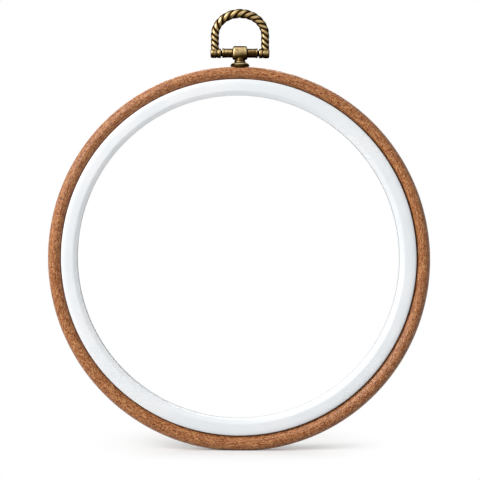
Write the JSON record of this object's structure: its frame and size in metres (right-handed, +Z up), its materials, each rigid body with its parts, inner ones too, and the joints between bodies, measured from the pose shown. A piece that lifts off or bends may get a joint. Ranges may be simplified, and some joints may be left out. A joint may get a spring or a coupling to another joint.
{
  "type": "embroidery hoop",
  "caption": "Round screwless embroidery hoop: a flexible woodgrain outer ring pressed over a stiff white inner ring, with a roped brass hanging loop that swings and swivels on top.",
  "frame": {"origin": "on the ground under the middle of the hoop, half way through its depth, with the hoop standing on its rim", "axes": "+X to the right as seen from the front, +Y to the back through the ring, +Z up to the hanging loop"},
  "size_m": [0.1372, 0.0104, 0.1578],
  "materials": {
    "woodgrain_ring": "flexible vinyl moulded with a woodgrain, matt to satin",
    "white_ring": "smooth moulded white plastic",
    "brass": "antique brass, dark in the recesses and rubbed bright on the crests"
  },
  "bodies": {
    "outer_hoop": {"outer_ring": "woodgrain_ring", "ferrule": "brass", "rivet_washer": "brass"},
    "inner_hoop": {"inner_ring": "white_ring"},
    "hanger_hub": {"hub": "brass", "hanger_rivet": "brass", "pivot_pin": "brass"},
    "hanger_bail": {"bail": "brass"}
  },
  "joints": [
    {"name": "inner_ring_push_out", "type": "slide", "parent": "outer_hoop", "child": "inner_hoop", "axis": [0, 1, 0], "range_m": [0, 0.02]},
    {"name": "hanger_swivel", "type": "hinge", "parent": "outer_hoop", "child": "hanger_hub", "pos_m": [0, -0.00065, 0.1392], "axis": [0, 0, 1], "continuous": true},
    {"name": "bail_swing", "type": "hinge", "parent": "hanger_hub", "child": "hanger_bail", "pos_m": [0, -0.00065, 0.14202], "axis": [1, 0, 0], "range_deg": [-105, 105]}
  ]
}
